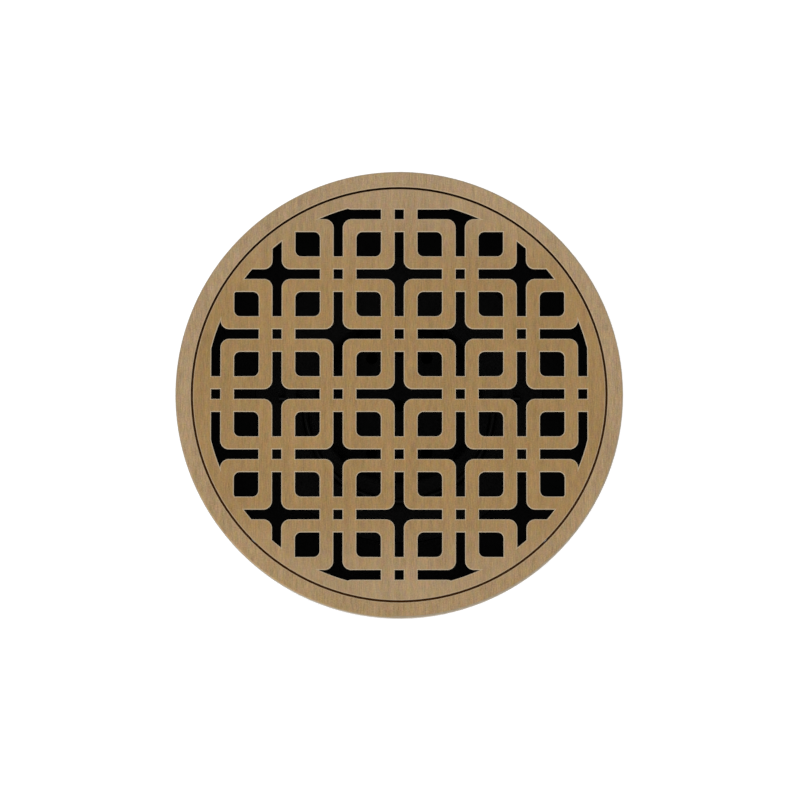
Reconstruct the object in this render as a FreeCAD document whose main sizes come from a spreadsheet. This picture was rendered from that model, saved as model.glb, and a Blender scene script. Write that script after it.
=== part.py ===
import FreeCAD, Part
import math
import os

import Sketcher
from FreeCAD import Placement, Rotation, Vector

# Round floor drain with a drop-in grate of interlaced links, each a nearly square frame.
#
# From the top down: a grate plate lies on four pads in the recess of a frame ring.  Four countersunk
# screws under the plate hold the ring and its seal to a moulded drain body, which is a shallow bowl
# on a threaded barrel.  A gasket, a slip washer and a lock nut on the barrel clamp the floor deck
# against the ring.  Inside the barrel a compression nut squeezes a pipe gasket round the waste pipe,
# and a hair basket with a folding bail hangs in the bowl's seat.
#
# Millimetres.  +Z is up and the origin is the centre of the barrel's lower end.

SHEET = "Sizes"

# (alias, millimetres or degrees or count, what it is)
DRIVING_SIZES = (
    ("overall_height", 70.0, "barrel end to finished floor"),
    ("ring_radius", 63.5, "frame ring, outside"),
    ("ring_height", 8.0, "frame ring, outer edge"),
    ("ring_rounding", 0.5, "frame ring, top outer edge"),
    ("recess_radius", 59.1, "recess that holds the grate"),
    ("grate_gap", 0.6, "radial gap between grate and ring"),
    ("grate_thickness", 3.0, "grate plate"),
    ("edge_chamfer", 0.25, "broken edges of the grate and the recess"),
    ("link_pitch_x", 17.35, "lattice pitch of the links along X"),
    ("link_pitch_y", 17.1, "lattice pitch of the links along Y"),
    ("slot_width_x", 2.6, "gap along X between neighbouring links"),
    ("slot_width_y", 2.75, "gap along Y between neighbouring links"),
    ("bar_width_x", 3.9, "width along X of a link's bars"),
    ("bar_width_y", 3.7, "width along Y of a link's bars"),
    ("link_outer_corner", 2.5, "outside corner radius of a link"),
    ("link_inner_corner", 1.7, "inside corner radius of a link"),
    ("pattern_radius", 54.9, "circle that ends the openings"),
    ("lattice_margin", 1.0, "links end this far inside the plate's edge"),
    ("pad_height", 0.6, "height of a pad above the ledge"),
    ("pad_depth", 0.5, "depth of a pad's groove in the ledge"),
    ("pad_width", 2.0, "radial width of a pad"),
    ("pad_sweep", 18.0, "degrees that a pad spans"),
    ("pad_play", 0.05, "pad to the sides of its groove"),
    ("pad_end_play", 0.1, "degrees from a pad's end to its groove's"),
    ("ledge_radius", 55.6, "inside of the ledge, and of the bowl"),
    ("ledge_thickness", 2.4, "ledge and lugs"),
    ("skirt_radius", 61.7, "inside of the skirt round the bowl's rim"),
    ("lug_circle", 55.9, "circle of the screws' centres"),
    ("lug_radius", 3.6, "screw lugs and the bosses under them"),
    ("screw_radius", 1.45, "screw shank"),
    ("screw_head_radius", 2.75, "screw head"),
    ("screw_length", 10.0, "screw, head included"),
    ("screw_clearance", 0.25, "screw shank to the ring's hole"),
    ("head_clearance", 0.15, "screw head to the ring's countersink"),
    ("screw_sink", 0.05, "screw head below the ledge"),
    ("screw_tip_radius", 0.65, "screw, end of the tip"),
    ("screw_tip_length", 1.2, "screw, length of the tip"),
    ("cross_reach", 1.5, "screw's cross recess, half its length"),
    ("cross_half_width", 0.3, "screw's cross recess, half its width"),
    ("cross_depth", 1.1, "screw's cross recess"),
    ("pilot_play", 0.05, "screw shank to its pilot hole"),
    ("pilot_room", 1.2, "pilot hole past the screw's tip"),
    ("boss_drop", 3.0, "screw bosses below the bowl's corner"),
    ("rim_radius", 61.5, "rim of the bowl"),
    ("rim_thickness", 3.5, "rim of the bowl, above the ribs"),
    ("wall_radius", 58.8, "outside of the bowl's wall"),
    ("seal_radius", 57.9, "inside of the frame seal"),
    ("seal_width", 2.0, "frame seal"),
    ("seal_depth", 1.7, "frame seal"),
    ("bowl_wall_height", 7.0, "straight part of the bowl's wall"),
    ("bowl_fall", 6.0, "fall of the bowl's sloping floor"),
    ("bowl_rounding", 3.0, "corner of the bowl, inside and outside"),
    ("outer_corner_drop", 2.1, "outer corner of the bowl below the inner one"),
    ("seat_radius", 41.5, "recess for the basket's rim"),
    ("seat_depth", 2.6, "recess for the basket's rim"),
    ("seat_wall", 3.2, "wall round the seat"),
    ("shoulder_drop", 3.2, "seat's floor to the shoulder under it"),
    ("neck_height", 3.7, "upright wall above the shoulder"),
    ("barrel_bore", 38.0, "inside of the barrel, at the root of its inner thread"),
    ("sleeve_radius", 37.2, "inside of the barrel round the pipe gasket"),
    ("barrel_core", 40.4, "barrel at the root of its thread"),
    ("barrel_crest", 42.0, "barrel over its thread"),
    ("barrel_break", 1.2, "broken edge of the barrel's lower end"),
    ("collar_radius", 42.2, "plain collar above the barrel's thread"),
    ("collar_height", 1.4, "plain collar above the barrel's thread"),
    ("thread_pitch", 3.2, "barrel thread"),
    ("thread_start", 4.0, "first ridge above the barrel's lower end"),
    ("thread_root_width", 2.4, "axial width of the ridge at its root"),
    ("thread_crest_width", 0.8, "axial width of the ridge at its crest"),
    ("thread_sink", 0.3, "depth that every thread ridge is rooted in its wall"),
    ("socket_radius", 31.0, "opening in the barrel's end ledge"),
    ("socket_ledge", 6.0, "thickness of the barrel's end ledge"),
    ("rib_count", 16, "ribs under the bowl"),
    ("rib_thickness", 2.4, "ribs under the bowl"),
    ("rib_inset", 0.5, "ribs inside the rim's edge"),
    ("rib_end_height", 2.5, "outer end of a rib"),
    ("rib_toe", 1.8, "reach of a rib past the wall at the shoulder"),
    ("pipe_gasket_bore", 30.4, "bore that takes the waste pipe"),
    ("pipe_gasket_height", 18.0, "pipe gasket"),
    ("gasket_break", 0.8, "broken outer edges of both gaskets"),
    ("sleeve_gap", 0.2, "pipe gasket and friction ring to barrel"),
    ("friction_ring_height", 1.2, "ring between nut and gasket"),
    ("friction_ring_bore", 31.2, "ring between nut and gasket"),
    ("nut_bore", 31.5, "bore of the compression nut"),
    ("nut_height", 13.0, "compression nut"),
    ("nut_break", 0.6, "broken edges of the compression nut"),
    ("inner_pitch", 2.4, "barrel's inner thread"),
    ("inner_thread_rise", 1.8, "first inner ridge above the friction ring"),
    ("inner_root_width", 1.4, "axial width of the inner ridges at their root"),
    ("inner_crest_width", 0.5, "axial width of the inner ridges at their crest"),
    ("nut_core", 36.85, "compression nut at the root of its thread"),
    ("nut_crest", 37.75, "compression nut over its thread"),
    ("notch_width", 8.0, "drive notches of the compression nut"),
    ("notch_depth", 4.0, "drive notches of the compression nut"),
    ("deck_gasket_height", 4.0, "gasket under the deck"),
    ("deck_gasket_radius", 56.0, "gasket under the deck"),
    ("deck_gasket_top", 35.0, "height of the gasket's upper face"),
    ("slip_washer_height", 1.5, "slip washer"),
    ("slip_washer_radius", 55.0, "slip washer"),
    ("slip_washer_bore", 42.6, "slip washer"),
    ("deck_gasket_bore", 42.5, "gasket under the deck"),
    ("lock_nut_height", 12.0, "lock nut"),
    ("lock_nut_bore", 42.35, "lock nut at the root of its thread"),
    ("lock_nut_crest", 40.9, "lock nut at the crest of its thread"),
    ("lock_nut_hub", 48.5, "lock nut, outside of the hub"),
    ("lock_nut_flange", 53.5, "lock nut, flange"),
    ("lock_nut_flange_height", 3.5, "lock nut, flange"),
    ("lock_nut_break", 0.8, "broken edges of the lock nut"),
    ("nut_thread_rise", 2.0, "lowest place of the lock nut's ridge above its foot"),
    ("nut_thread_play", 0.35, "lock nut's ridge narrower than the barrel's"),
    ("lock_nut_reach", 57.5, "lock nut, over its lugs"),
    ("lug_count", 8, "lugs of the lock nut"),
    ("lock_lug_width", 6.5, "lugs of the lock nut"),
    ("lock_lug_root", 1.0, "depth that a lug is rooted in the hub"),
    ("lock_lug_inset", 1.5, "lugs inside the nut's two faces"),
    ("lock_lug_break", 1.2, "broken corners of a lug"),
    ("basket_rim", 41.2, "hair basket, over its rim"),
    ("basket_skin", 1.6, "hair basket, wall"),
    ("basket_seal_height", 1.0, "seal under the basket's rim"),
    ("basket_seal_bore", 38.4, "seal under the basket's rim"),
    ("basket_seal_radius", 41.1, "seal under the basket's rim"),
    ("cup_rounding", 1.2, "basket cup, corners"),
    ("cup_top_radius", 25.5, "basket cup, outside at the top"),
    ("cup_foot_radius", 23.0, "basket cup, outside at the foot"),
    ("cup_foot", 26.0, "height of the cup's foot"),
    ("cup_slot_count", 24, "slots round the cup"),
    ("cup_slot_width", 2.4, "slots round the cup"),
    ("cup_slot_break", 0.7, "corners of a slot"),
    ("cup_slot_rise", 2.0, "slots above the cup's inner floor"),
    ("cup_slot_fall", 4.0, "slots below the brim"),
    ("foot_hole_radius", 1.7, "holes in the cup's foot"),
    ("bail_wire", 1.0, "radius of the bail's wire"),
    ("bail_play", 0.1, "bail's wire to its ears"),
    ("bail_loop", 27.0, "radius of the bail's loop"),
    ("bail_bend", 2.5, "radius of the bail's end bends"),
    ("ear_inner", 29.6, "ears of the bail, inner face"),
    ("ear_thickness", 3.0, "ears of the bail"),
    ("ear_width", 6.0, "ears of the bail"),
    ("ear_root", 0.4, "depth that an ear is rooted in the brim"),
    ("ear_head", 2.2, "ears above the pivot"),
    ("pivot_height", 1.2, "bail pivot above the basket's rim"),
    ("bail_end", 34.6, "half the width over the bail's ends"),
)

SCREW_ANGLES = (45.0, 135.0, 225.0, 315.0)
PAD_ANGLES = (0.0, 90.0, 180.0, 270.0)
NOTCH_COUNT = 4
LATTICE_REACH = 4
FULL_TURN = 360.0

# Turns of each thread's ridge.
BARREL_TURNS = 12
INNER_TURNS = 8
LOCK_NUT_TURNS = 2
COMPRESSION_NUT_TURNS = 3.5

# The holes in the basket's foot: name, circle as a share of the foot's radius, count.
FOOT_HOLES = (("Middle", 0.0, 1), ("Inner", 0.34, 6), ("Outer", 0.7, 12))

# How far a cut runs past the face that it opens.
OVERSHOOT = 1.0


class Size:
    """A length with its value and the expression over the sheet's cells that gives it."""

    def __init__(self, value, text):
        self.value = value
        self.text = text

    def _with(self, other, sign, value):
        text = other.text if isinstance(other, Size) else repr(float(other))
        return Size(value, "(" + self.text + " " + sign + " " + text + ")")

    def __add__(self, other):
        return self._with(other, "+", self.value + number(other))

    def __sub__(self, other):
        return self._with(other, "-", self.value - number(other))

    def __mul__(self, other):
        return self._with(other, "*", self.value * number(other))

    def __truediv__(self, other):
        return self._with(other, "/", self.value / number(other))

    def __neg__(self):
        return Size(-self.value, "(-1 * " + self.text + ")")


def number(size):
    """The plain value of a Size or a number."""
    return size.value if isinstance(size, Size) else float(size)


doc = FreeCAD.newDocument("floor_drain")
sheet = doc.addObject("Spreadsheet::Sheet", SHEET)
cells = {}
for row, (alias, amount, meaning) in enumerate(DRIVING_SIZES, start=1):
    sheet.set("A%d" % row, meaning)
    sheet.set("B%d" % row, str(amount))
    sheet.setAlias("B%d" % row, alias)
    cells[alias] = Size(float(amount), SHEET + "." + alias)
doc.recompute()


def size(alias):
    """The driving size with that alias."""
    return cells[alias]


def bind(thing, path, amount):
    """Sets a property to a size and ties it to the sheet."""
    if "." not in path:
        setattr(thing, path, number(amount))
    if isinstance(amount, Size):
        thing.setExpression(path, amount.text)


def plane_of(body, role):
    """One of a body's own origin planes or axes, by its role."""
    return [f for f in body.Origin.OriginFeatures if f.Role == role][0]


def new_body(label):
    """An empty body whose label is the node's name."""
    body = doc.addObject("PartDesign::Body", "Body_" + label)
    body.Label = label
    return body


def new_sketch(body, name, role, lift=None):
    """A sketch on one of the body's origin planes, lifted along the plane's normal."""
    sketch = body.newObject("Sketcher::SketchObject", name)
    sketch.AttachmentSupport = (plane_of(body, role), [""])
    sketch.MapMode = "FlatFace"
    if lift is not None:
        sketch.AttachmentOffset = Placement(Vector(0, 0, number(lift)), Rotation())
        bind(sketch, "AttachmentOffset.Base.z", lift)
    return sketch


def pin_point(sketch, geometry, end, x, y):
    """Fixes one point of a sketch at (x, y), each tied to the sheet."""
    for kind, amount, axis in (("DistanceX", x, -2), ("DistanceY", y, -1)):
        if abs(number(amount)) < 1e-9:
            sketch.addConstraint(Sketcher.Constraint("PointOnObject", geometry, end, axis))
            continue
        if number(amount) > 0:
            ends = (-1, 1, geometry, end)
        else:
            ends = (geometry, end, -1, 1)
            amount = -amount if isinstance(amount, Size) else -number(amount)
        index = sketch.addConstraint(Sketcher.Constraint(kind, *ends, number(amount)))
        if isinstance(amount, Size):
            sketch.setExpression("Constraints[%d]" % index, amount.text)


def polygon(sketch, points):
    """A closed outline of straight lines through (x, y) sizes."""
    count = len(points)
    first = None
    for k, start in enumerate(points):
        end = points[(k + 1) % count]
        ends = [Vector(number(p[0]), number(p[1]), 0) for p in (start, end)]
        line = sketch.addGeometry(Part.LineSegment(*ends), False)
        first = line if first is None else first
        if line > first:
            sketch.addConstraint(Sketcher.Constraint("Coincident", line - 1, 2, line, 1))
    sketch.addConstraint(Sketcher.Constraint("Coincident", first + count - 1, 2, first, 1))
    for k, (x, y) in enumerate(points):
        pin_point(sketch, first + k, 1, x, y)


def circle(sketch, radius, x=0.0, y=0.0):
    """A circle with a bound radius and centre."""
    centre = Vector(number(x), number(y), 0)
    index = sketch.addGeometry(Part.Circle(centre, Vector(0, 0, 1), number(radius)), False)
    pin_point(sketch, index, 3, x, y)
    which = sketch.addConstraint(Sketcher.Constraint("Radius", index, number(radius)))
    if isinstance(radius, Size):
        sketch.setExpression("Constraints[%d]" % which, radius.text)


def rounded_rectangle(sketch, half_x, half_y, corner):
    """A rectangle of those half-widths about the origin, with round corners."""
    first = sketch.GeometryCount
    curve = number(corner)
    bulge = curve * (1 - math.sqrt(0.5))
    for turn in range(4):
        # The side that faces +X, +Y, -X or -Y in turn, and the corner after it.
        spin = Rotation(Vector(0, 0, 1), 90.0 * turn)
        out, along = (number(half_x), number(half_y)) if turn % 2 == 0 else (number(half_y), number(half_x))
        start, end = Vector(out, curve - along, 0), Vector(out, along - curve, 0)
        middle, after = Vector(out - bulge, along - bulge, 0), Vector(out - curve, along, 0)
        points = [spin.multVec(p) for p in (start, end, middle, after)]
        sketch.addGeometry(Part.LineSegment(points[0], points[1]), False)
        sketch.addGeometry(Part.Arc(points[1], points[2], points[3]), False)
    straight_x = half_x - corner
    straight_y = half_y - corner
    corners = (
        (straight_x, straight_y),
        (-straight_x, straight_y),
        (-straight_x, -straight_y),
        (straight_x, -straight_y),
    )
    for turn, (x, y) in enumerate(corners):
        line, arc = first + 2 * turn, first + 2 * turn + 1
        next_line = first + 2 * ((turn + 1) % 4)
        sketch.addConstraint(Sketcher.Constraint("Tangent", line, 2, arc, 1))
        sketch.addConstraint(Sketcher.Constraint("Tangent", arc, 2, next_line, 1))
        pin_point(sketch, arc, 3, x, y)
        which = sketch.addConstraint(Sketcher.Constraint("Radius", arc, curve))
        sketch.setExpression("Constraints[%d]" % which, corner.text)


def revolve(body, name, points, angle=None, cut=False):
    """Turns an outline of (radius, height) sizes about the Z axis."""
    sketch = new_sketch(body, name + "Section", "XZ_Plane")
    polygon(sketch, points)
    kind = "PartDesign::Groove" if cut else "PartDesign::Revolution"
    feature = body.newObject(kind, name)
    feature.Profile = sketch
    feature.ReferenceAxis = (sketch, ["V_Axis"])
    if angle is None:
        feature.Angle = FULL_TURN
    else:
        feature.Midplane = True
        bind(feature, "Angle", angle)
    return feature


def pad(body, name, sketch, length, midplane=False):
    """Pads a sketch along its normal, or half to each side of it."""
    feature = body.newObject("PartDesign::Pad", name)
    feature.Profile = sketch
    feature.Midplane = midplane
    bind(feature, "Length", length)
    return feature


def pocket(body, name, sketch, length, midplane=False, forwards=False):
    """Cuts a sketch against its normal, forwards along it, or half to each side."""
    feature = body.newObject("PartDesign::Pocket", name)
    feature.Profile = sketch
    feature.Midplane = midplane
    feature.Reversed = forwards
    bind(feature, "Length", length)
    return feature


def around(body, name, feature, count):
    """Repeats a feature evenly about the Z axis."""
    pattern = body.newObject("PartDesign::PolarPattern", name)
    pattern.Originals = [feature]
    pattern.Axis = (plane_of(body, "Z_Axis"), [""])
    pattern.Angle = FULL_TURN
    if isinstance(count, Size):
        pattern.Occurrences = int(count.value)
        pattern.setExpression("Occurrences", count.text)
    else:
        pattern.Occurrences = count
    body.Tip = pattern
    return pattern


def ring_edges(shape, rings):
    """Names of the circular edges about the Z axis with the given (radius, height) pairs."""
    names = []
    for index, edge in enumerate(shape.Edges, start=1):
        if not isinstance(edge.Curve, Part.Circle):
            continue
        curve = edge.Curve
        if math.hypot(curve.Center.x, curve.Center.y) > 1e-4:
            continue
        for radius, height in rings:
            if abs(curve.Radius - radius) < 1e-3 and abs(curve.Center.z - height) < 1e-3:
                names.append("Edge%d" % index)
    return names


def round_edges(body, name, feature, rings, radius):
    """Fillets the circular edges at the given (radius, height) pairs."""
    doc.recompute()
    fillet = body.newObject("PartDesign::Fillet", name)
    fillet.Base = (feature, ring_edges(feature.Shape, rings))
    bind(fillet, "Radius", radius)
    return fillet


def helix(body, name, section, pitch, height):
    """Winds a thread ridge, given by its (radius, height) outline at the lower end, up the Z axis."""
    sketch = new_sketch(body, name + "Section", "XZ_Plane")
    polygon(sketch, section)
    feature = body.newObject("PartDesign::AdditiveHelix", name)
    feature.Profile = sketch
    feature.ReferenceAxis = (sketch, ["V_Axis"])
    feature.Mode = "pitch-height-angle"
    bind(feature, "Pitch", pitch)
    bind(feature, "Height", height)
    return feature


def ridge(root, crest, root_width, crest_width, middle):
    """The outline of a thread ridge about the height middle, from its root radius to its crest."""
    return (
        (root, middle - root_width / 2),
        (crest, middle - crest_width / 2),
        (crest, middle + crest_width / 2),
        (root, middle + root_width / 2),
    )


# Heights that several parts share, all from the sheet.
floor_level = size("overall_height")
grate_foot = floor_level - size("grate_thickness")
ledge_top = grate_foot - size("pad_height")
rim_top = ledge_top - size("ledge_thickness")
bowl_corner = rim_top - size("bowl_wall_height")
seat_top = bowl_corner - size("bowl_fall")
seat_floor = seat_top - size("seat_depth")
gasket_top = size("socket_ledge") + size("pipe_gasket_height")
friction_top = gasket_top + size("friction_ring_height")
brim_foot = seat_floor + size("basket_seal_height")
brim_top = brim_foot + size("basket_skin")
pivot_level = brim_top + size("pivot_height")
stack_top = size("deck_gasket_top")
washer_top = stack_top - size("deck_gasket_height")
lock_nut_top = washer_top - size("slip_washer_height")
lock_nut_foot = lock_nut_top - size("lock_nut_height")

inner_thread_start = friction_top + size("inner_thread_rise")
nothing = Size(0.0, "0")


def link_halves():
    """Half the width of a link over its outside, along X and along Y."""
    half_x = size("link_pitch_x") - size("slot_width_x") / 2
    half_y = size("link_pitch_y") - size("slot_width_y") / 2
    return half_x, half_y


def make_link():
    """One link: an upright frame with its top edges broken all round."""
    body = new_body("link")
    chamfer = size("edge_chamfer")
    outer = link_halves()
    inner = (outer[0] - size("bar_width_x"), outer[1] - size("bar_width_y"))
    deep = size("grate_thickness") - chamfer
    outline = new_sketch(body, "LinkOutline", "XY_Plane")
    rounded_rectangle(outline, *outer, size("link_outer_corner"))
    pad(body, "LinkBlock", outline, deep)
    upper = new_sketch(body, "LinkUpperOutline", "XY_Plane", deep)
    rounded_rectangle(upper, *outer, size("link_outer_corner"))
    crown = pad(body, "LinkCrown", upper, chamfer)
    crown.TaperAngle = -45.0
    window = new_sketch(body, "WindowOutline", "XY_Plane")
    rounded_rectangle(window, *inner, size("link_inner_corner"))
    pocket(body, "Window", window, size("grate_thickness"), forwards=True)
    flare = new_sketch(body, "FlareOutline", "XY_Plane", deep)
    rounded_rectangle(flare, *inner, size("link_inner_corner"))
    opening = pocket(body, "Flare", flare, chamfer, forwards=True)
    opening.TaperAngle = 45.0
    return body


def make_grate_plate():
    """The drop-in plate: the lattice of links inside a circle, and the solid border round it."""
    link = make_link()
    links = []
    reach = range(-LATTICE_REACH, LATTICE_REACH + 1)
    half_x, half_y = link_halves()
    for across in reach:
        for up in reach:
            x, y = size("link_pitch_x") * across, size("link_pitch_y") * up
            near_x = max(abs(x.value) - half_x.value, 0.0)
            near_y = max(abs(y.value) - half_y.value, 0.0)
            if (across + up) % 2 or math.hypot(near_x, near_y) > number(size("pattern_radius")):
                continue
            copy = doc.addObject("App::Link", "Link_%d_%d" % (across + LATTICE_REACH, up + LATTICE_REACH))
            copy.LinkedObject = link
            copy.Placement = Placement(Vector(x.value, y.value, 0), Rotation())
            copy.setExpression("Placement.Base.x", x.text)
            copy.setExpression("Placement.Base.y", y.text)
            links.append(copy)
    lattice = doc.addObject("Part::MultiFuse", "Lattice")
    lattice.Shapes = links
    plate_radius = size("recess_radius") - size("grate_gap")
    chamfer = size("edge_chamfer")
    deep = size("grate_thickness") - chamfer
    border = new_body("border")
    revolve(
        border,
        "BorderRing",
        (
            (size("pattern_radius"), nothing),
            (plate_radius, nothing),
            (plate_radius, deep),
            (plate_radius - chamfer, size("grate_thickness")),
            (size("pattern_radius") + chamfer, size("grate_thickness")),
            (size("pattern_radius"), deep),
        ),
    )
    field = doc.addObject("Part::Cylinder", "Field")
    bind(field, "Radius", plate_radius - size("lattice_margin"))
    bind(field, "Height", size("grate_thickness"))
    trimmed = doc.addObject("Part::Common", "TrimmedLattice")
    trimmed.Base = lattice
    trimmed.Tool = field
    plate = doc.addObject("Part::MultiFuse", "GratePlate")
    plate.Shapes = [border, trimmed]
    plate.Refine = True
    plate.Label = "grate_plate"
    plate.Placement = Placement(Vector(0, 0, grate_foot.value), Rotation())
    plate.setExpression("Placement.Base.z", grate_foot.text)
    return plate


def make_grate_pad(number_in_row, angle):
    """A rubber strip, half sunk in the ledge, that the grate lies on."""
    body = new_body("grate_pad_%d" % number_in_row)
    middle = (size("ledge_radius") + size("recess_radius")) / 2
    half = size("pad_width") / 2
    foot = ledge_top - size("pad_depth")
    points = (
        (middle - half, foot),
        (middle + half, foot),
        (middle + half, grate_foot),
        (middle - half, grate_foot),
    )
    revolve(body, "PadStrip", points, angle=size("pad_sweep"))
    body.Placement = Placement(Vector(), Rotation(Vector(0, 0, 1), angle))
    return body


def make_frame_ring():
    """The visible ring, with a recess for the grate and four lugs for the screws."""
    body = new_body("frame_ring")
    chamfer = size("edge_chamfer")
    outer = size("ring_radius")
    revolve(
        body,
        "RingSection",
        (
            (size("recess_radius") + chamfer, floor_level),
            (outer, floor_level),
            (outer, floor_level - size("ring_height")),
            (size("skirt_radius"), floor_level - size("ring_height")),
            (size("skirt_radius"), rim_top),
            (size("ledge_radius"), rim_top),
            (size("ledge_radius"), ledge_top),
            (size("recess_radius"), ledge_top),
            (size("recess_radius"), floor_level - chamfer),
        ),
    )
    at = size("lug_circle") * math.sqrt(0.5)
    lug_sketch = new_sketch(body, "LugOutline", "XY_Plane", rim_top)
    circle(lug_sketch, size("lug_radius"), at, at)
    lug = pad(body, "Lug", lug_sketch, size("ledge_thickness"))
    around(body, "Lugs", lug, len(SCREW_ANGLES))
    doc.recompute()
    hole_sketch = new_sketch(body, "ScrewHoleCentre", "XY_Plane", ledge_top)
    circle(hole_sketch, size("screw_radius") + size("screw_clearance"), at, at)
    hole = body.newObject("PartDesign::Hole", "ScrewHole")
    hole.Profile = hole_sketch
    doc.recompute()
    hole.DepthType = "ThroughAll"
    hole.HoleCutType = "Countersink"
    hole.HoleCutCustomValues = True
    hole.HoleCutCountersinkAngle = 90.0
    bind(hole, "Diameter", (size("screw_radius") + size("screw_clearance")) * 2)
    bind(hole, "HoleCutDiameter", (size("screw_head_radius") + size("head_clearance")) * 2)
    around(body, "ScrewHoles", hole, len(SCREW_ANGLES))
    middle = (size("ledge_radius") + size("recess_radius")) / 2
    half = size("pad_width") / 2 + size("pad_play")
    groove = revolve(
        body,
        "PadGroove",
        (
            (middle - half, ledge_top - size("pad_depth")),
            (middle + half, ledge_top - size("pad_depth")),
            (middle + half, ledge_top + OVERSHOOT),
            (middle - half, ledge_top + OVERSHOOT),
        ),
        angle=size("pad_sweep") + size("pad_end_play") * 2,
        cut=True,
    )
    grooves = around(body, "PadGrooves", groove, len(PAD_ANGLES))
    spot = (outer.value, floor_level.value)
    round_edges(body, "RingTopEdge", grooves, [spot], size("ring_rounding"))
    return body


def make_frame_seal():
    """The square-section rubber ring between the frame ring and the bowl's rim."""
    body = new_body("frame_seal")
    inner = size("seal_radius")
    outer = inner + size("seal_width")
    foot = rim_top - size("seal_depth")
    revolve(body, "SealSection", ((inner, foot), (outer, foot), (outer, rim_top), (inner, rim_top)))
    return body


def make_ring_screw(number_in_row, angle):
    """A countersunk screw with a cross recess, under the grate's solid corner."""
    body = new_body("ring_screw_%d" % number_in_row)
    shank = size("screw_radius")
    head = size("screw_head_radius")
    top = nothing - size("screw_sink")
    neck = top - (head - shank)
    tip = top - size("screw_length")
    reach = size("cross_reach")
    half = size("cross_half_width")
    revolve(
        body,
        "ScrewSection",
        (
            (nothing, tip),
            (size("screw_tip_radius"), tip),
            (shank, tip + size("screw_tip_length")),
            (shank, neck),
            (head, top),
            (nothing, top),
        ),
    )
    for name, across, up in (("RecessX", reach, half), ("RecessY", half, reach)):
        sketch = new_sketch(body, name + "Outline", "XY_Plane", top)
        polygon(sketch, ((-across, -up), (across, -up), (across, up), (-across, up)))
        pocket(body, name, sketch, size("cross_depth"))
    spin = Rotation(Vector(0, 0, 1), angle)
    at = spin.multVec(Vector(number(size("lug_circle")), 0, ledge_top.value))
    body.Placement = Placement(at, spin)
    body.setExpression("Placement.Base.z", ledge_top.text)
    return body


def make_drain_body():
    """The moulded body: rim, bowl, basket seat and threaded barrel, with ribs underneath."""
    body = new_body("drain_body")
    shoulder = seat_floor - size("shoulder_drop")
    collar_foot = shoulder - size("collar_height")
    neck = size("seat_radius") + size("seat_wall")
    neck_top = shoulder + size("neck_height")
    wall = size("wall_radius")
    outer_corner = bowl_corner - size("outer_corner_drop")
    rim_foot = rim_top - size("rim_thickness")
    section = revolve(
        body,
        "BodySection",
        (
            (size("socket_radius"), nothing),
            (size("barrel_core") - size("barrel_break"), nothing),
            (size("barrel_core"), size("barrel_break")),
            (size("barrel_core"), collar_foot),
            (size("collar_radius"), collar_foot),
            (size("collar_radius"), shoulder),
            (neck, shoulder),
            (neck, neck_top),
            (wall, outer_corner),
            (wall, rim_foot),
            (size("rim_radius"), rim_foot),
            (size("rim_radius"), rim_top),
            (size("ledge_radius"), rim_top),
            (size("ledge_radius"), bowl_corner),
            (size("seat_radius"), seat_top),
            (size("seat_radius"), seat_floor),
            (size("barrel_bore"), seat_floor),
            (size("barrel_bore"), friction_top),
            (size("sleeve_radius"), friction_top),
            (size("sleeve_radius"), size("socket_ledge")),
            (size("socket_radius"), size("socket_ledge")),
        ),
    )
    corners = [
        (number(size("ledge_radius")), bowl_corner.value),
        (number(wall), outer_corner.value),
    ]
    body.Tip = round_edges(body, "BowlCorner", section, corners, size("bowl_rounding"))
    wall_middle = (size("ledge_radius") + wall) / 2
    seat_middle = (size("seat_radius") + neck) / 2
    rib_reach = size("rim_radius") - size("rib_inset")
    rib_sketch = new_sketch(body, "RibOutline", "XZ_Plane")
    polygon(
        rib_sketch,
        (
            (wall_middle, rim_foot),
            (rib_reach, rim_foot),
            (rib_reach, rim_foot - size("rib_end_height")),
            (neck + size("rib_toe"), shoulder),
            (seat_middle, shoulder),
            (seat_middle, (neck_top + seat_top) / 2),
            (wall_middle, (outer_corner + bowl_corner) / 2),
        ),
    )
    rib = pad(body, "Rib", rib_sketch, size("rib_thickness"), midplane=True)
    around(body, "Ribs", rib, size("rib_count"))
    doc.recompute()
    at = size("lug_circle") * math.sqrt(0.5)
    boss_foot = bowl_corner - size("boss_drop")
    boss_sketch = new_sketch(body, "BossOutline", "XY_Plane", boss_foot)
    circle(boss_sketch, size("lug_radius"), at, at)
    boss = pad(body, "Boss", boss_sketch, rim_top - boss_foot)
    around(body, "Bosses", boss, len(SCREW_ANGLES))
    doc.recompute()
    pilot_sketch = new_sketch(body, "PilotOutline", "XY_Plane", rim_top)
    circle(pilot_sketch, size("screw_radius") + size("pilot_play"), at, at)
    pilot_depth = size("screw_length") - size("ledge_thickness") + size("pilot_room")
    pilot = pocket(body, "Pilot", pilot_sketch, pilot_depth)
    around(body, "Pilots", pilot, len(SCREW_ANGLES))
    doc.recompute()
    seal_outer = size("seal_radius") + size("seal_width")
    revolve(
        body,
        "SealGroove",
        (
            (size("seal_radius"), rim_top - size("seal_depth")),
            (seal_outer, rim_top - size("seal_depth")),
            (seal_outer, rim_top + OVERSHOOT),
            (size("seal_radius"), rim_top + OVERSHOOT),
        ),
        cut=True,
    )
    helix(
        body,
        "BarrelThread",
        ridge(
            size("barrel_core") - size("thread_sink"),
            size("barrel_crest"),
            size("thread_root_width"),
            size("thread_crest_width"),
            size("thread_start"),
        ),
        size("thread_pitch"),
        size("thread_pitch") * BARREL_TURNS,
    )
    helix(
        body,
        "InnerThread",
        ridge(
            size("barrel_bore") + size("thread_sink"),
            size("sleeve_radius"),
            size("inner_root_width"),
            size("inner_crest_width"),
            inner_thread_start,
        ),
        size("inner_pitch"),
        size("inner_pitch") * INNER_TURNS,
    )
    return body


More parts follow.
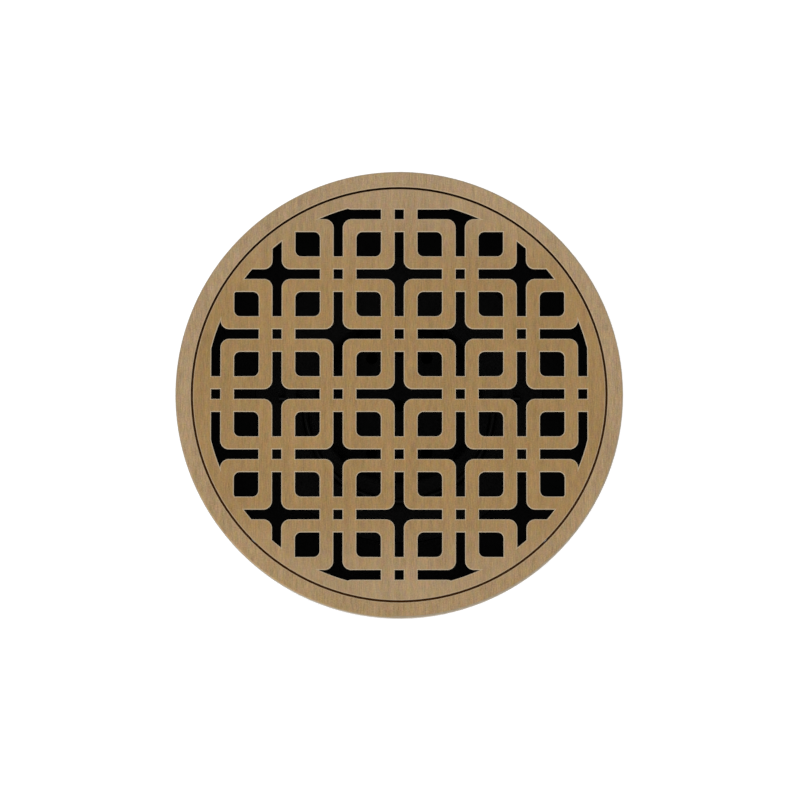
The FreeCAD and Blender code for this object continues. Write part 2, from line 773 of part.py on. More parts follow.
def make_washer(label, inner, outer, foot, top, chamfer=0.0):
    """A flat ring about the Z axis, its outer edges broken when chamfer isn't 0."""
    body = new_body(label)
    if chamfer:
        points = (
            (inner, foot),
            (outer - chamfer, foot),
            (outer, foot + chamfer),
            (outer, top - chamfer),
            (outer - chamfer, top),
            (inner, top),
        )
    else:
        points = ((inner, foot), (outer, foot), (outer, top), (inner, top))
    revolve(body, "Section", points)
    return body


def make_lock_nut():
    """The lugged nut that clamps the deck, with a thread that runs in the barrel's."""
    body = new_body("lock_nut")
    bore = size("lock_nut_bore")
    hub = size("lock_nut_hub")
    flange = size("lock_nut_flange")
    flange_foot = lock_nut_top - size("lock_nut_flange_height")
    corner = size("lock_nut_break")
    revolve(
        body,
        "NutSection",
        (
            (bore + corner, lock_nut_foot),
            (hub - corner, lock_nut_foot),
            (hub, lock_nut_foot + corner),
            (hub, flange_foot),
            (flange, flange_foot),
            (flange, lock_nut_top),
            (bore + corner, lock_nut_top),
            (bore, lock_nut_top - corner),
            (bore, lock_nut_foot + corner),
        ),
    )
    inset = size("lock_lug_inset")
    lug_sketch = new_sketch(body, "LugOutline", "XY_Plane", lock_nut_foot + inset)
    half = size("lock_lug_width") / 2
    reach = size("lock_nut_reach")
    root = hub - size("lock_lug_root")
    corner = size("lock_lug_break")
    polygon(
        lug_sketch,
        (
            (root, -half),
            (reach - corner, -half),
            (reach, -half + corner),
            (reach, half - corner),
            (reach - corner, half),
            (root, half),
        ),
    )
    lug = pad(body, "Lug", lug_sketch, size("lock_nut_height") - inset * 2)
    around(body, "Lugs", lug, size("lug_count"))
    doc.recompute()
    # The nut's ridge lies halfway between two ridges of the barrel.
    pitch = size("thread_pitch")
    lowest = lock_nut_foot + size("nut_thread_rise") - size("thread_start")
    pitches_up = math.ceil(number(lowest / pitch) - 0.5) + 0.5
    helix(
        body,
        "NutThread",
        ridge(
            bore + size("thread_sink"),
            size("lock_nut_crest"),
            size("thread_root_width") - size("nut_thread_play"),
            size("thread_crest_width"),
            pitch * pitches_up + size("thread_start"),
        ),
        pitch,
        pitch * LOCK_NUT_TURNS,
    )
    return body


def make_compression_nut():
    """The nut that squeezes the pipe gasket, driven by the four notches in its top."""
    body = new_body("compression_nut")
    inner = size("nut_bore")
    outer = size("nut_core")
    corner = size("nut_break")
    top = friction_top + size("nut_height")
    pitch = size("inner_pitch")
    revolve(
        body,
        "NutSection",
        (
            (inner, friction_top),
            (outer - corner, friction_top),
            (outer, friction_top + corner),
            (outer, top - corner),
            (outer - corner, top),
            (inner + corner, top),
            (inner, top - corner),
        ),
    )
    helix(
        body,
        "NutThread",
        ridge(
            outer - size("thread_sink"),
            size("nut_crest"),
            size("inner_root_width"),
            size("inner_crest_width"),
            inner_thread_start + pitch / 2,
        ),
        pitch,
        pitch * COMPRESSION_NUT_TURNS,
    )
    doc.recompute()
    sketch = new_sketch(body, "NotchOutline", "XY_Plane", top)
    half = size("notch_width") / 2
    inside = inner - OVERSHOOT
    outside = size("nut_crest") + OVERSHOOT
    polygon(sketch, ((inside, -half), (outside, -half), (outside, half), (inside, half)))
    notch = pocket(body, "Notch", sketch, size("notch_depth"))
    around(body, "Notches", notch, NOTCH_COUNT)
    return body


def make_basket_cup():
    """The hair basket: a brim, a slotted cup, a perforated foot and two ears for the bail."""
    body = new_body("basket_cup")
    skin = size("basket_skin")
    foot = size("cup_foot")
    section = revolve(
        body,
        "CupSection",
        (
            (nothing, foot),
            (size("cup_foot_radius"), foot),
            (size("cup_top_radius"), brim_foot),
            (size("basket_rim"), brim_foot),
            (size("basket_rim"), brim_top),
            (size("cup_top_radius") - skin, brim_top),
            (size("cup_foot_radius") - skin, foot + skin),
            (nothing, foot + skin),
        ),
    )
    corners = [
        (number(size("cup_foot_radius")), foot.value),
        (number(size("cup_top_radius") - skin), brim_top.value),
    ]
    round_edges(body, "CupCorners", section, corners, size("cup_rounding"))
    ear_half = size("ear_width") / 2
    ear_foot = brim_top - size("ear_root")
    for side, sign in (("Right", 1.0), ("Left", -1.0)):
        sketch = new_sketch(body, side + "EarOutline", "XY_Plane", ear_foot)
        near = size("ear_inner") * sign
        far = (size("ear_inner") + size("ear_thickness")) * sign
        polygon(sketch, ((near, -ear_half), (far, -ear_half), (far, ear_half), (near, ear_half)))
        pad(body, side + "Ear", sketch, pivot_level + size("ear_head") - ear_foot)
    bore_sketch = new_sketch(body, "PivotOutline", "YZ_Plane")
    circle(bore_sketch, size("bail_wire") + size("bail_play"), nothing, pivot_level)
    pocket(body, "Pivot", bore_sketch, size("basket_rim") * 2, midplane=True)
    slot_sketch = new_sketch(body, "SlotOutline", "YZ_Plane")
    half = size("cup_slot_width") / 2
    corner = size("cup_slot_break")
    low = foot + skin + size("cup_slot_rise")
    high = brim_foot - size("cup_slot_fall")
    polygon(
        slot_sketch,
        (
            (-half, low + corner),
            (-half + corner, low),
            (half - corner, low),
            (half, low + corner),
            (half, high - corner),
            (half - corner, high),
            (-half + corner, high),
            (-half, high - corner),
        ),
    )
    slot = pocket(body, "Slot", slot_sketch, size("cup_top_radius") + OVERSHOOT, forwards=True)
    around(body, "Slots", slot, size("cup_slot_count"))
    doc.recompute()
    for name, share, count in FOOT_HOLES:
        sketch = new_sketch(body, name + "HoleOutline", "XY_Plane", foot)
        place = size("cup_foot_radius") * share if share else nothing
        circle(sketch, size("foot_hole_radius"), place, nothing)
        hole = pocket(body, name + "Hole", sketch, skin + OVERSHOOT, forwards=True)
        if count > 1:
            around(body, name + "Holes", hole, count)
            doc.recompute()
    return body


def make_basket_bail():
    """The wire handle: two straight ends in the ears, and a loop that folds flat on the brim."""
    loop = number(size("bail_loop"))
    bend = number(size("bail_bend"))
    end = number(size("bail_end"))
    low = math.sqrt(0.5)
    turn = loop + bend
    edges = []
    for sign in (1.0, -1.0):
        straight = Part.LineSegment(Vector(sign * end, 0, 0), Vector(sign * turn, 0, 0))
        corner = Part.Arc(
            Vector(sign * turn, 0, 0),
            Vector(sign * (turn - bend * low), -bend + bend * low, 0),
            Vector(sign * loop, -bend, 0),
        )
        edges.append([straight.toShape(), corner.toShape()])
    sweep = Part.Arc(Vector(loop, -bend, 0), Vector(0, -bend - loop, 0), Vector(-loop, -bend, 0))
    path = Part.Wire(edges[0] + [sweep.toShape()] + edges[1][::-1])
    section = Part.Wire(Part.makeCircle(number(size("bail_wire")), Vector(end, 0, 0), Vector(1, 0, 0)))
    bail = doc.addObject("Part::Feature", "Bail")
    bail.Shape = path.makePipeShell([section], True, False)
    bail.Label = "basket_bail"
    bail.Placement = Placement(Vector(0, 0, pivot_level.value), Rotation())
    bail.setExpression("Placement.Base.z", pivot_level.text)
    return bail


def build():
    """Makes every sub-part and returns them all."""
    parts = [make_grate_plate()]
    parts += [make_grate_pad(k, angle) for k, angle in enumerate(PAD_ANGLES, start=1)]
    parts.append(make_frame_ring())
    parts += [make_ring_screw(k, angle) for k, angle in enumerate(SCREW_ANGLES, start=1)]
    parts.append(make_frame_seal())
    parts.append(make_drain_body())
    parts.append(make_basket_cup())
    parts.append(make_basket_bail())
    parts.append(make_compression_nut())
    parts.append(make_lock_nut())
    in_sleeve = size("sleeve_radius") - size("sleeve_gap")
    gasket_corner = size("gasket_break")
    for washer in (
        ("basket_seal", size("basket_seal_bore"), size("basket_seal_radius"), seat_floor, brim_foot),
        ("friction_ring", size("friction_ring_bore"), in_sleeve, gasket_top, friction_top),
        ("pipe_gasket", size("pipe_gasket_bore"), in_sleeve, size("socket_ledge"), gasket_top, gasket_corner),
        (
            "deck_gasket",
            size("deck_gasket_bore"),
            size("deck_gasket_radius"),
            washer_top,
            stack_top,
            gasket_corner,
        ),
        (
            "slip_washer",
            size("slip_washer_bore"),
            size("slip_washer_radius"),
            lock_nut_top,
            washer_top,
        ),
    ):
        parts.append(make_washer(*washer))
    return parts


def check(parts):
    """Stops the script if any object failed or any sub-part isn't a good closed solid."""
    for thing in doc.Objects:
        bad = [state for state in thing.State if state in ("Invalid", "Error")]
        if bad:
            raise RuntimeError("%s is %s" % (thing.Name, bad))
    for part in parts:
        shape = part.Shape
        if shape.isNull() or not shape.isValid() or not shape.Solids:
            raise RuntimeError("%s has no valid solid" % part.Label)


def write(parts):
    """Writes each sub-part to parts/LABEL.step."""
    os.makedirs("parts", exist_ok=True)
    for part in parts:
        part.Shape.exportStep("parts/%s.step" % part.Label)
        print("%-18s %9.1f mm3  %d solid(s)" % (part.Label, part.Shape.Volume, len(part.Shape.Solids)))


all_parts = build()
doc.recompute()
check(all_parts)
write(all_parts)
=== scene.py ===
import math

import bpy
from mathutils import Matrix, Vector


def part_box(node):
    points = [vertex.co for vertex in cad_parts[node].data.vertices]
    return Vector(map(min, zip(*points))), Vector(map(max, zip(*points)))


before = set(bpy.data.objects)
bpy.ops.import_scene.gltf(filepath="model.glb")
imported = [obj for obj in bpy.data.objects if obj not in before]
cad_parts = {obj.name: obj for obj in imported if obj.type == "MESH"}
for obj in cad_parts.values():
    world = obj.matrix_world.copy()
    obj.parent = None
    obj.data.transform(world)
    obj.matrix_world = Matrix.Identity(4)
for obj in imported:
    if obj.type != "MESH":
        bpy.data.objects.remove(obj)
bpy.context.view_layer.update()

# Looks for a round floor drain: satin brushed bronze on top, dark moulded plastic and rubber below.
# Everything is in metres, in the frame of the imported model: +Z up, origin under the barrel.

MM = 0.001

# The view: from above, leant a few degrees towards -Y, with a long lens.
VIEW_WIDTH = 226.8 * MM
VIEW_CENTRE = (0.22 * MM, -1.72 * MM)
VIEW_LEAN = math.radians(4.6)
LENS = 200.0
SENSOR = 36.0

# The floor has a black painted shade under the bore, where the pipe goes down, and glows a little away from
# the barrel.
FLOOR_SIZE = 6.0
FLOOR_HEIGHT = -0.1 * MM
FLOOR_PAINTED_SHADE = (0.002, 0.002, 0.002)
FLOOR_WHITES = ((0.88, 0.88, 0.88), (0.90, 0.90, 0.90))
FLOOR_SHADE_DISC = (30 * MM, 31 * MM)
FLOOR_GLOW = 0.40
GLOW_EDGE = (43 * MM, 60 * MM)

# The light: an even white sky, and a softbox from one side.
SKY_STRENGTH = 1.0
KEY_PLACE = (-0.9, -0.8, 1.1)
KEY_TARGET = (0.0, 0.0, 0.04)
KEY_SIZE = 1.3
KEY_POWER = 3.5

# Where a point of the bronze is, by its distance from the Z axis. Each pair is where a change starts
# and ends.
GRATE_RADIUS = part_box("grate_plate")[1].x
RING_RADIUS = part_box("frame_ring")[1].x
NEAR_GAP = (GRATE_RADIUS - 2.5 * MM, GRATE_RADIUS - 1.0 * MM)
GAP_WALL = (GRATE_RADIUS - 0.9 * MM, GRATE_RADIUS - 0.5 * MM)
OUTER_SIDE = (RING_RADIUS - 2.5 * MM, RING_RADIUS - 1.5 * MM)
# Painted shade: the bronze is dark on the ledge that the grate lies on and on the walls down to it.
RECESS_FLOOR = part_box("grate_plate")[0].z
RECESS_SHADE = (RECESS_FLOOR, RECESS_FLOOR + 2 * MM)

# Which way a face of the bronze looks, by its normal's Z: a wall, either end of a chamfer, or a flat.
WALL_TILT = (0.1, 0.3)
CHAMFER_STARTS = (0.25, 0.45)
CHAMFER_ENDS = (0.80, 0.97)
FLAT_TOP = (0.5, 0.95)

# The marks of the brushed finish: how wide and long each is, or how many lie along a metre.
STREAK = (0.27 * MM, 3.5 * MM)
BROAD_STREAK = (1.6 * MM, 30 * MM)
WARM_PATCH = (1.1 * MM, 2.6 * MM)
PINK_PATCH = (1.3 * MM, 2.2 * MM)
WARM_SHIFT = 40 * MM
PINK_SHIFT = 90 * MM
FINE_RING = 0.25 * MM
BROAD_RING = 1.2 * MM
# How often in a metre a turned ring changes on its way round.
RING_CHANGES = 6.0
SPECKLES = 2600.0
PATCHES = 45.0
BRUSHED_DEPTH = 0.004 * MM
# How much each mark lightens or darkens the metal.
STREAK_SHARE = 0.90
SPECKLE_SHARE = 0.60
BROAD_SHARE = 0.34
PATCH_SHARE = 0.16
# How much the warm patches, then the pink ones, add to red, green and blue.
RED_TINT = (0.20, 0.18)
GREEN_TINT = (0.0, -0.18)
BLUE_TINT = (-0.54, 0.30)
# The small chamfers are less metallic, so that their pale painted highlight colour shows in any light.
EDGE_METALLIC = 0.35

# Painted light: the grate turns paler between these distances from its middle along Y, the ring between
# these Y.
GRATE_PAINTED_LIGHT = (28 * MM, 62 * MM)
RING_PAINTED_LIGHT = (-55 * MM, 10 * MM)
RING_PAINTED_LIGHT_LEAST = 0.62
# The grain is a little stronger on the ring.
GRATE_GRAIN = 0.9
RING_GRAIN = 1.15

# Painted shade: what shows through the grate's openings is nearly black and dull.
PAINTED_SHADE_BLACK = (0.005, 0.005, 0.005)
DEEP_SPECULAR = 0.12
DEEP_ROUGHNESS = 0.95
# The body is like that on faces that look in or up, from just above its lower end. A face looks in where
# its place across the Z axis, in metres, times its normal is below LOOKS_IN.
LOOKS_IN = (-4 * MM, -1 * MM)
LOOKS_UP = (0.3, 0.5)
LOWER_END = (3 * MM, 5 * MM)

# How much rougher than the rest the dullest patches of the plastic are.
GLOSS_SPREAD = 0.12

# Plain colours, as linear light.
BODY_BLACK = (0.020, 0.020, 0.021)
NUT_BLACK = (0.024, 0.024, 0.025)
SEAL_BLACK = (0.012, 0.012, 0.012)
PAD_GREY = (0.30, 0.30, 0.29)
WASHER_CREAM = (0.62, 0.60, 0.52)
# Each metal's colour and its tarnish.
# The bail's wire is painted near black, a painted shade for where it lies under the grate.
PAINTED_SHADE_WIRE = ((0.012, 0.012, 0.012), (0.009, 0.008, 0.008))
SCREW_STEEL = ((0.58, 0.57, 0.55), (0.38, 0.37, 0.35))
RING_STEEL = ((0.55, 0.55, 0.54), (0.36, 0.35, 0.33))
BRASS = ((0.55, 0.38, 0.14), (0.36, 0.24, 0.09))

PADS = 4
SCREWS = 4


# ---------------------------------------------------------------- node helpers

class Graph:
    """A material's node tree, with short calls that add and link nodes."""

    def __init__(self, name):
        self.material = bpy.data.materials.new(name)
        self.material.use_nodes = True
        self.tree = self.material.node_tree
        self.tree.nodes.clear()
        self.shader = self.tree.nodes.new("ShaderNodeBsdfPrincipled")
        output = self.tree.nodes.new("ShaderNodeOutputMaterial")
        self.link(self.shader.outputs["BSDF"], output.inputs["Surface"])
        self.place = self.tree.nodes.new("ShaderNodeTexCoord")

    def link(self, start, end):
        self.tree.links.new(start, end)

    def set(self, **values):
        """Constant values on the shader's own sockets, with _ for a space."""
        for name, value in values.items():
            self.shader.inputs[name.replace("_", " ")].default_value = value

    def feed(self, node, name, value):
        """Sets or links one input of a node."""
        socket = node.inputs[name]
        if isinstance(value, bpy.types.NodeSocket):
            self.link(value, socket)
        else:
            socket.default_value = value

    def math(self, operation, a, b=0.0):
        node = self.tree.nodes.new("ShaderNodeMath")
        node.operation = operation
        self.feed(node, 0, a)
        self.feed(node, 1, b)
        return node.outputs[0]

    def axes(self, vector=None):
        """The x, y and z of a vector, or of the place in the object."""
        node = self.tree.nodes.new("ShaderNodeSeparateXYZ")
        self.link(vector or self.place.outputs["Object"], node.inputs[0])
        return node.outputs[0], node.outputs[1], node.outputs[2]

    def normal(self):
        """The x, y and z of the way that the face looks."""
        return self.axes(self.place.outputs["Normal"])

    def radius(self):
        """Distance from the Z axis."""
        x, y, _ = self.axes()
        return self.math("SQRT", self.math("ADD", self.math("POWER", x, 2.0), self.math("POWER", y, 2.0)))

    def vector(self, x, y, z):
        node = self.tree.nodes.new("ShaderNodeCombineXYZ")
        for name, value in zip("XYZ", (x, y, z)):
            self.feed(node, name, value)
        return node.outputs[0]

    def ramp(self, value, low, high, start=0.0, end=1.0):
        """Maps low..high to start..end smoothly and holds the ends."""
        node = self.tree.nodes.new("ShaderNodeMapRange")
        node.interpolation_type = "SMOOTHSTEP"
        for name, amount in (
            ("Value", value),
            ("From Min", low),
            ("From Max", high),
            ("To Min", start),
            ("To Max", end),
        ):
            self.feed(node, name, amount)
        return node.outputs[0]

    def fall(self, value, low, high):
        """1 up to low, and 0 from high on."""
        return self.ramp(value, low, high, start=1.0, end=0.0)

    def noise(self, scale, detail=2.0, roughness=0.5, vector=None):
        """Noise around 0.5 at scale features per metre, or per unit of the vector."""
        node = self.tree.nodes.new("ShaderNodeTexNoise")
        self.link(vector or self.place.outputs["Object"], node.inputs["Vector"])
        self.feed(node, "Scale", scale)
        self.feed(node, "Detail", detail)
        self.feed(node, "Roughness", roughness)
        return node.outputs[0]

    def centred(self, noise):
        """A noise moved to lie around 0."""
        return self.math("SUBTRACT", noise, 0.5)

    def mix(self, share, first, second):
        """A colour between first and second. The Mix node's colours are its inputs 6 and 7 and output 2."""
        node = self.tree.nodes.new("ShaderNodeMix")
        node.data_type = "RGBA"
        self.feed(node, 0, share)
        for index, value in ((6, first), (7, second)):
            if isinstance(value, tuple):
                value = (*value, 1.0)
            self.feed(node, index, value)
        return node.outputs[2]

    def pick(self, share, first, second):
        """A number between first and second. The Mix node's numbers are its inputs 2 and 3 and output 0."""
        node = self.tree.nodes.new("ShaderNodeMix")
        node.data_type = "FLOAT"
        self.feed(node, 0, share)
        self.feed(node, 2, first)
        self.feed(node, 3, second)
        return node.outputs[0]

    def total(self, *terms):
        """1 plus the sum of (value, share) products."""
        result = 1.0
        for value, share in terms:
            result = self.math("ADD", result, self.math("MULTIPLY", value, share))
        return result

    def product(self, first, second):
        """Two colours or vectors multiplied channel by channel."""
        node = self.tree.nodes.new("ShaderNodeVectorMath")
        node.operation = "MULTIPLY"
        self.link(first, node.inputs[0])
        self.link(second, node.inputs[1])
        return node.outputs[0]

    def colour(self, value):
        self.feed(self.shader, "Base Color", value)

    def roughness(self, value):
        self.feed(self.shader, "Roughness", value)

    def bump(self, height, depth):
        """Bump of the given depth in metres."""
        node = self.tree.nodes.new("ShaderNodeBump")
        node.inputs["Strength"].default_value = 1.0
        node.inputs["Distance"].default_value = depth
        self.link(height, node.inputs["Height"])
        self.link(node.outputs[0], self.shader.inputs["Normal"])


def srgb(red, green, blue):
    """A display colour of 0 to 255 as linear light."""
    parts = []
    for level in (red, green, blue):
        share = level / 255.0
        parts.append(share / 12.92 if share <= 0.04045 else ((share + 0.055) / 1.055) ** 2.4)
    return tuple(parts)


def scaled(colour, gain, lift=0.0):
    """The colour times gain, plus lift."""
    return tuple(channel * gain + lift for channel in colour)


# ---------------------------------------------------------------- materials

def straight_grain(graph, size, detail=2.0, shift=0.0):
    """Noise drawn out along Y: size is its width and length, and shift moves it along X, in metres."""
    across, along = size
    x, y, z = graph.axes()
    stretched = graph.vector(
        graph.math("DIVIDE", graph.math("ADD", x, shift), across),
        graph.math("DIVIDE", y, along),
        graph.math("DIVIDE", z, along),
    )
    return graph.noise(scale=1.0, detail=detail, roughness=0.6, vector=stretched)


def turned_grain(graph, step):
    """Fine rings round the Z axis, as a lathe leaves: step is their size in metres."""
    x, y, z = graph.axes()
    rings = graph.vector(
        graph.math("DIVIDE", graph.radius(), step),
        graph.math("DIVIDE", z, step),
        graph.math("MULTIPLY", graph.math("ADD", x, y), RING_CHANGES),
    )
    return graph.noise(scale=1.0, roughness=0.6, vector=rings)


def brushed_bronze(name, looks, painted_light_rule, strength):
    """Satin bronze brushed along Y on top and turned on its sides, with painted highlights on broken edges.

    looks gives the colours: warm and pale flats, mixed as painted light by the rule given, rim and side
    (the outer rounding, and the rings turned below it), edge (painted highlight on broken edges of the
    openings), groove (painted highlight on those beside the gap), gap (painted shade on walls of the gap)
    and hollow (painted shade on other walls, and the floors below the top). strength is that of the grain."""
    graph = Graph(name)
    radius = graph.radius()
    _, _, height = graph.axes()
    _, _, up = graph.normal()

    on_top = graph.ramp(up, *FLAT_TOP)
    grain = graph.pick(on_top, turned_grain(graph, FINE_RING), straight_grain(graph, STREAK))
    broad_streaks = straight_grain(graph, BROAD_STREAK, detail=1.0)
    broad = graph.pick(on_top, turned_grain(graph, BROAD_RING), broad_streaks)
    speckle = graph.noise(SPECKLES, detail=1.0)
    patches = graph.noise(PATCHES, detail=1.0)
    level = graph.total(
        (graph.centred(grain), STREAK_SHARE * strength),
        (graph.centred(speckle), SPECKLE_SHARE * strength),
        (graph.centred(broad), BROAD_SHARE),
        (graph.centred(patches), PATCH_SHARE),
    )
    warmer = graph.centred(straight_grain(graph, WARM_PATCH, shift=WARM_SHIFT))
    pinker = graph.centred(straight_grain(graph, PINK_PATCH, shift=PINK_SHIFT))
    shades = []
    for warm_share, pink_share in (RED_TINT, GREEN_TINT, BLUE_TINT):
        tint = graph.total((warmer, warm_share), (pinker, pink_share))
        shades.append(graph.math("MULTIPLY", level, tint))
    # Painted light: the flats are mixed from warm to pale by the painted light rule, then given the grain.
    flat = graph.product(graph.mix(painted_light_rule(graph), looks["warm"], looks["pale"]), graph.vector(*shades))

    # Painted shade: inner walls, undersides and the recess floor take the dark gap and hollow colours; the
    # outer side keeps its turned finish.
    outer_side = graph.ramp(radius, *OUTER_SIDE)
    painted_shade_wall = graph.mix(graph.ramp(radius, *GAP_WALL), looks["hollow"], looks["gap"])
    side = graph.mix(graph.ramp(broad, low=0.35, high=0.65), looks["side"], looks["rim"])
    wall = graph.mix(outer_side, painted_shade_wall, side)
    sunk = graph.math("MAXIMUM", graph.fall(up, *WALL_TILT), graph.fall(height, *RECESS_SHADE))

    # Painted highlight: the chamfers take the pale edge colour, the groove colour near the gap, and less
    # metallic sheen.
    chamfer = graph.math("MULTIPLY", graph.ramp(up, *CHAMFER_STARTS), graph.fall(up, *CHAMFER_ENDS))
    edge_highlight = graph.mix(graph.ramp(radius, *NEAR_GAP), looks["edge"], looks["groove"])
    edged = graph.mix(chamfer, flat, graph.mix(outer_side, edge_highlight, looks["rim"]))
    inner_chamfer = graph.math("MULTIPLY", chamfer, graph.math("SUBTRACT", 1.0, outer_side))

    graph.colour(graph.mix(sunk, edged, wall))
    graph.feed(graph.shader, "Metallic", graph.pick(inner_chamfer, 1.0, EDGE_METALLIC))
    graph.roughness(graph.ramp(grain, low=0.3, high=0.7, start=0.30, end=0.42))
    graph.bump(grain, BRUSHED_DEPTH)
    return graph.material


def moulded_plastic(name, base, gloss, specular, inside=None):
    """Moulded plastic with a fine spark-eroded texture. inside(graph) is 1 where painted shade makes it
    near black and dull.
    """
    graph = Graph(name)
    texture = graph.noise(scale=2600.0, detail=3.0, roughness=0.6)
    patches = graph.noise(scale=70.0, detail=3.0, roughness=0.55)
    pale = graph.ramp(patches, low=0.40, high=0.70)
    colour = graph.mix(pale, base, scaled(base, gain=1.5, lift=0.002))
    roughness = graph.ramp(patches, low=0.35, high=0.65, start=gloss, end=gloss + GLOSS_SPREAD)
    if inside is not None:
        painted_shade_mask = inside(graph)
        colour = graph.mix(painted_shade_mask, colour, PAINTED_SHADE_BLACK)
        roughness = graph.pick(painted_shade_mask, roughness, DEEP_ROUGHNESS)
        specular = graph.pick(painted_shade_mask, specular, DEEP_SPECULAR)
    graph.colour(colour)
    graph.roughness(roughness)
    graph.feed(graph.shader, "Specular IOR Level", specular)
    graph.bump(texture, depth=0.020 * MM)
    return graph.material


def rubber(name, base):
    """Dull rubber with a soft grain and a faint bloom."""
    graph = Graph(name)
    grain = graph.noise(scale=1500.0, detail=4.0, roughness=0.65)
    bloom = graph.noise(scale=90.0, detail=4.0, roughness=0.6)
    pale = graph.ramp(bloom, low=0.45, high=0.75)
    graph.colour(graph.mix(pale, base, scaled(base, gain=1.7, lift=0.006)))
    graph.roughness(graph.ramp(grain, low=0.3, high=0.7, start=0.62, end=0.80))
    graph.bump(grain, depth=0.03 * MM)
    graph.set(Specular_IOR_Level=0.25)
    return graph.material


def turned_metal(name, colours, step):
    """Metal turned on a lathe or stamped, with fine rings round Z and a little tarnish."""
    base, tarnish = colours
    graph = Graph(name)
    rings = turned_grain(graph, step)
    stain = graph.noise(scale=160.0, detail=4.0, roughness=0.6)
    dark_rings = graph.ramp(rings, low=0.3, high=0.7, start=0.25, end=0.0)
    turned = graph.mix(dark_rings, base, scaled(base, gain=0.75))
    tarnished = graph.ramp(stain, low=0.45, high=0.80, end=0.35)
    graph.colour(graph.mix(tarnished, turned, tarnish))
    graph.roughness(graph.ramp(stain, low=0.4, high=0.7, start=0.30, end=0.42))
    graph.bump(rings, depth=0.003 * MM)
    graph.set(Metallic=1.0)
    return graph.material


def washer_plastic(name, base):
    """Pale washer plastic, faintly mottled."""
    graph = Graph(name)
    mottle = graph.noise(scale=240.0, detail=5.0, roughness=0.65)
    grain = graph.noise(scale=3000.0, detail=2.0, roughness=0.6)
    dark = graph.ramp(mottle, low=0.35, high=0.70)
    graph.colour(graph.mix(dark, base, scaled(base, gain=0.80)))
    graph.roughness(graph.ramp(mottle, low=0.3, high=0.7, start=0.42, end=0.58))
    graph.bump(grain, depth=0.012 * MM)
    return graph.material


def painted_light_by_length(graph):
    """Painted light: the grate is warm in the middle and paler towards its two ends along Y."""
    _, y, _ = graph.axes()
    return graph.ramp(graph.math("ABSOLUTE", y), *GRATE_PAINTED_LIGHT)


def painted_light_on_ring(graph):
    """Painted light: the ring is pale all round, and a touch warmer on its -Y side."""
    _, y, _ = graph.axes()
    return graph.ramp(y, *RING_PAINTED_LIGHT, start=RING_PAINTED_LIGHT_LEAST)


def inside_bowl(graph):
    """1 on the inner faces of the drain body, which get painted shade: near black and dull."""
    x, y, height = graph.axes()
    across, along, up = graph.normal()
    outward = graph.math("ADD", graph.math("MULTIPLY", across, x), graph.math("MULTIPLY", along, y))
    either = graph.math("MAXIMUM", graph.fall(outward, *LOOKS_IN), graph.ramp(up, *LOOKS_UP))
    return graph.math("MULTIPLY", either, graph.ramp(height, *LOWER_END))


def paint(node, material):
    """Gives a CAD node its material."""
    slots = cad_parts[node].data.materials
    slots.clear()
    slots.append(material)


def paint_bronze():
    """The grate and the frame ring."""
    looks = {
        # warm and pale: the flats' colours, which the painted light rule mixes.
        "warm": srgb(158, 128, 86),
        "pale": srgb(167, 142, 109),
        # edge and groove: painted highlights on the chamfers.
        "edge": srgb(194, 176, 148),
        "groove": srgb(188, 165, 132),
        "rim": srgb(152, 139, 118),
        "side": srgb(145, 130, 107),
        # gap and hollow: painted shade on the walls, the undersides and the recess floors.
        "gap": srgb(84, 50, 20),
        "hollow": srgb(60, 42, 24),
    }
    paint("grate_plate", brushed_bronze("grate_bronze", looks, painted_light_by_length, GRATE_GRAIN))
    paint("frame_ring", brushed_bronze("ring_bronze", looks, painted_light_on_ring, RING_GRAIN))


def paint_plastic():
    """The body, the lock nut, the basket's cup and the slip washer."""
    body = moulded_plastic("body_black", BODY_BLACK, gloss=0.38, specular=0.35, inside=inside_bowl)
    paint("drain_body", body)
    paint("lock_nut", moulded_plastic("nut_black", NUT_BLACK, gloss=0.40, specular=0.35))
    # The basket's cup is dark plastic, made near black as painted shade like the bowl's inside.
    paint("basket_cup", moulded_plastic("basket_black", PAINTED_SHADE_BLACK, gloss=0.70, specular=DEEP_SPECULAR))
    paint("slip_washer", washer_plastic("washer_plastic", WASHER_CREAM))


def paint_rubber():
    """The seals and gaskets, and the silicone pads under the grate."""
    seal = rubber("seal_rubber", SEAL_BLACK)
    for node in ("frame_seal", "basket_seal", "pipe_gasket", "deck_gasket"):
        paint(node, seal)
    silicone = rubber("pad_silicone", PAD_GREY)
    for index in range(1, PADS + 1):
        paint("grate_pad_%d" % index, silicone)


def paint_metal():
    """The bail's wire, painted near black as painted shade, the screws, the friction ring and the
    compression nut.
    """
    paint("basket_bail", turned_metal("bail_wire", PAINTED_SHADE_WIRE, step=0.3 * MM))
    steel = turned_metal("screw_steel", SCREW_STEEL, step=0.12 * MM)
    for index in range(1, SCREWS + 1):
        paint("ring_screw_%d" % index, steel)
    paint("friction_ring", turned_metal("ring_steel", RING_STEEL, step=0.2 * MM))
    paint("compression_nut", turned_metal("nut_brass", BRASS, step=0.2 * MM))


# ---------------------------------------------------------------- floor, light and camera

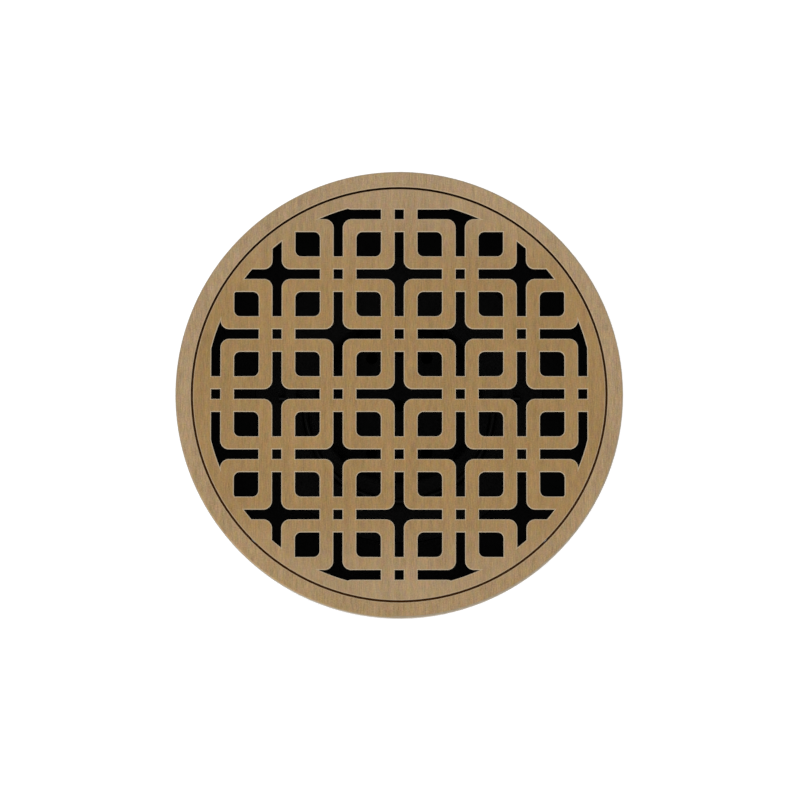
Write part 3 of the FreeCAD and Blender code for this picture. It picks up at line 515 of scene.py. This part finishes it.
def floor_white():
    """White that glows a little away from the drain, with a black painted shade under its bore."""
    graph = Graph("floor_white")
    radius = graph.radius()
    plain = graph.mix(graph.noise(scale=400.0), *FLOOR_WHITES)
    graph.colour(graph.mix(graph.ramp(radius, *FLOOR_SHADE_DISC), FLOOR_PAINTED_SHADE, plain))
    graph.roughness(0.8)
    graph.set(Specular_IOR_Level=0.0)
    graph.set(Emission_Color=(1.0, 1.0, 1.0, 1.0))
    graph.feed(graph.shader, "Emission Strength", graph.ramp(radius, *GLOW_EDGE, end=FLOOR_GLOW))
    return graph.material


def make_floor():
    """A pale square floor just under the drain."""
    mesh = bpy.data.meshes.new("floor")
    half = FLOOR_SIZE / 2
    corners = [(x * half, y * half, FLOOR_HEIGHT) for x, y in ((-1, -1), (1, -1), (1, 1), (-1, 1))]
    mesh.from_pydata(corners, [], [(0, 1, 2, 3)])
    mesh.materials.append(floor_white())
    floor = bpy.data.objects.new("floor", mesh)
    bpy.context.scene.collection.objects.link(floor)


def make_sky():
    """An even white sky."""
    world = bpy.data.worlds.new("sky")
    world.use_nodes = True
    background = world.node_tree.nodes["Background"]
    background.inputs["Color"].default_value = (1.0, 1.0, 1.0, 1.0)
    background.inputs["Strength"].default_value = SKY_STRENGTH
    bpy.context.scene.world = world


def make_softbox():
    """A square softbox from the side, which gives round shapes a shade."""
    data = bpy.data.lights.new("key", "AREA")
    data.shape = "SQUARE"
    data.size = KEY_SIZE
    data.energy = KEY_POWER
    light = bpy.data.objects.new("key", data)
    light.location = KEY_PLACE
    light.rotation_euler = (Vector(KEY_TARGET) - Vector(KEY_PLACE)).to_track_quat("-Z", "Y").to_euler()
    bpy.context.scene.collection.objects.link(light)


def make_camera(top):
    """Looks down from the -Y side of straight above, with the image's top towards +Y."""
    data = bpy.data.cameras.new("camera")
    data.lens = LENS
    data.sensor_width = SENSOR
    camera = bpy.data.objects.new("camera", data)
    distance = VIEW_WIDTH * LENS / SENSOR
    lean = Vector((0, -math.sin(VIEW_LEAN), math.cos(VIEW_LEAN)))
    camera.location = Vector((*VIEW_CENTRE, top)) + lean * distance
    camera.rotation_euler = (VIEW_LEAN, 0, 0)
    bpy.context.scene.collection.objects.link(camera)
    bpy.context.scene.camera = camera


paint_bronze()
paint_plastic()
paint_rubber()
paint_metal()
make_floor()
make_sky()
make_softbox()
make_camera(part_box("frame_ring")[1].z)
bpy.context.scene.view_settings.view_transform = "Standard"
